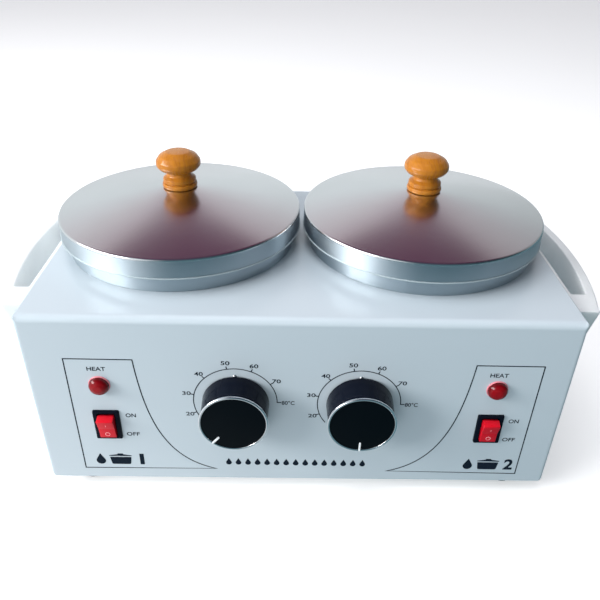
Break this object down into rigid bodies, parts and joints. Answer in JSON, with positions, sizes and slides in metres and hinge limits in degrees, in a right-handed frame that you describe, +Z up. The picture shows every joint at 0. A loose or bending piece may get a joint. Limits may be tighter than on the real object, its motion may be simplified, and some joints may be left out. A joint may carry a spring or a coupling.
{
  "type": "wax warmer pot",
  "caption": "Countertop wax warmer: a box housing with lift-out wax pots under domed lids with wooden knobs, thermostat dials, rocker switches, pilot lamps and side handles.",
  "frame": {"origin": "middle of the overall box at the level of the feet's underside", "axes": "+X to the right as the user faces the control panel, +Y from the control panel to the rear, +Z up"},
  "size_m": [0.3478, 0.1976, 0.1812],
  "materials": {
    "white_enamel": "glossy white stoving enamel with a cool tint and printed legends",
    "zinc_steel": "bright zinc plate",
    "satin_aluminium": "satin spun aluminium",
    "pot_aluminium": "drawn aluminium, soft satin",
    "varnished_wood": "turned hardwood in glossy honey varnish",
    "grey_plastic": "moulded pale grey plastic, semi-gloss",
    "black_plastic": "glossy black moulded plastic",
    "chrome_trim": "bright trim",
    "red_rocker": "glossy red plastic",
    "red_lens": "clear deep red lens",
    "black_rubber": "matte rubber",
    "brass_pin": "plated contact brass",
    "heater_mica": "mica band heater",
    "insulation_wool": "felted mineral wool",
    "terminal_plastic": "ivory terminal plastic"
  },
  "bodies": {
    "housing": {"housing_shell": "white_enamel", "base_plate": "zinc_steel", "foot_front_left": "black_rubber", "foot_screw_front_left": "zinc_steel", "foot_front_right": "black_rubber", "foot_screw_front_right": "zinc_steel", "foot_rear_left": "black_rubber", "foot_screw_rear_left": "zinc_steel", "foot_rear_right": "black_rubber", "foot_screw_rear_right": "zinc_steel", "left_handle": "grey_plastic", "left_handle_screw_front": "zinc_steel", "left_handle_screw_rear": "zinc_steel", "right_handle": "grey_plastic", "right_handle_screw_front": "zinc_steel", "right_handle_screw_rear": "zinc_steel", "inlet_socket": "black_plastic", "inlet_pin_line": "brass_pin", "inlet_pin_neutral": "brass_pin", "inlet_pin_earth": "brass_pin", "inlet_screw_left": "zinc_steel", "inlet_screw_right": "zinc_steel", "terminal_block": "terminal_plastic", "left_heater_well": "pot_aluminium", "left_collar": "satin_aluminium", "left_heater_band": "heater_mica", "left_insulation_jacket": "insulation_wool", "left_thermostat": "zinc_steel", "left_thermostat_nut": "zinc_steel", "left_lamp_lens": "red_lens", "left_lamp_body": "black_plastic", "left_switch_body": "black_plastic", "right_heater_well": "pot_aluminium", "right_collar": "satin_aluminium", "right_heater_band": "heater_mica", "right_insulation_jacket": "insulation_wool", "right_thermostat": "zinc_steel", "right_thermostat_nut": "zinc_steel", "right_lamp_lens": "red_lens", "right_lamp_body": "black_plastic", "right_switch_body": "black_plastic"},
    "left_pot": {"left_wax_pot": "pot_aluminium"},
    "left_lid": {"left_lid": "satin_aluminium", "left_lid_knob": "varnished_wood", "left_lid_screw": "zinc_steel"},
    "left_dial": {"left_control_knob": "black_plastic", "left_knob_ring": "chrome_trim", "left_knob_face": "black_plastic", "left_thermostat_shaft": "zinc_steel"},
    "left_switch": {"left_rocker": "red_rocker"},
    "right_pot": {"right_wax_pot": "pot_aluminium"},
    "right_lid": {"right_lid": "satin_aluminium", "right_lid_knob": "varnished_wood", "right_lid_screw": "zinc_steel"},
    "right_dial": {"right_control_knob": "black_plastic", "right_knob_ring": "chrome_trim", "right_knob_face": "black_plastic", "right_thermostat_shaft": "zinc_steel"},
    "right_switch": {"right_rocker": "red_rocker"}
  },
  "joints": [
    {"name": "left_pot_lift", "type": "slide", "parent": "housing", "child": "left_pot", "axis": [0, 0, 1], "range_m": [0, 0.1]},
    {"name": "left_lid_lift", "type": "slide", "parent": "left_pot", "child": "left_lid", "axis": [0, 0, 1], "range_m": [0, 0.06]},
    {"name": "left_dial_turn", "type": "hinge", "parent": "housing", "child": "left_dial", "pos_m": [-0.0361, -0.08025, 0.069], "axis": [0, 1, 0], "range_deg": [0, 224]},
    {"name": "left_switch_rock", "type": "hinge", "parent": "housing", "child": "left_switch", "pos_m": [-0.1104, -0.08075, 0.0514], "axis": [-1, 0, 0], "range_deg": [0, 24]},
    {"name": "right_pot_lift", "type": "slide", "parent": "housing", "child": "right_pot", "axis": [0, 0, 1], "range_m": [0, 0.1]},
    {"name": "right_lid_lift", "type": "slide", "parent": "right_pot", "child": "right_lid", "axis": [0, 0, 1], "range_m": [0, 0.06]},
    {"name": "right_dial_turn", "type": "hinge", "parent": "housing", "child": "right_dial", "pos_m": [0.0336, -0.08025, 0.069], "axis": [0, 1, 0], "range_deg": [0, 259]},
    {"name": "right_switch_rock", "type": "hinge", "parent": "housing", "child": "right_switch", "pos_m": [0.1096, -0.08075, 0.0514], "axis": [-1, 0, 0], "range_deg": [0, 24]}
  ]
}
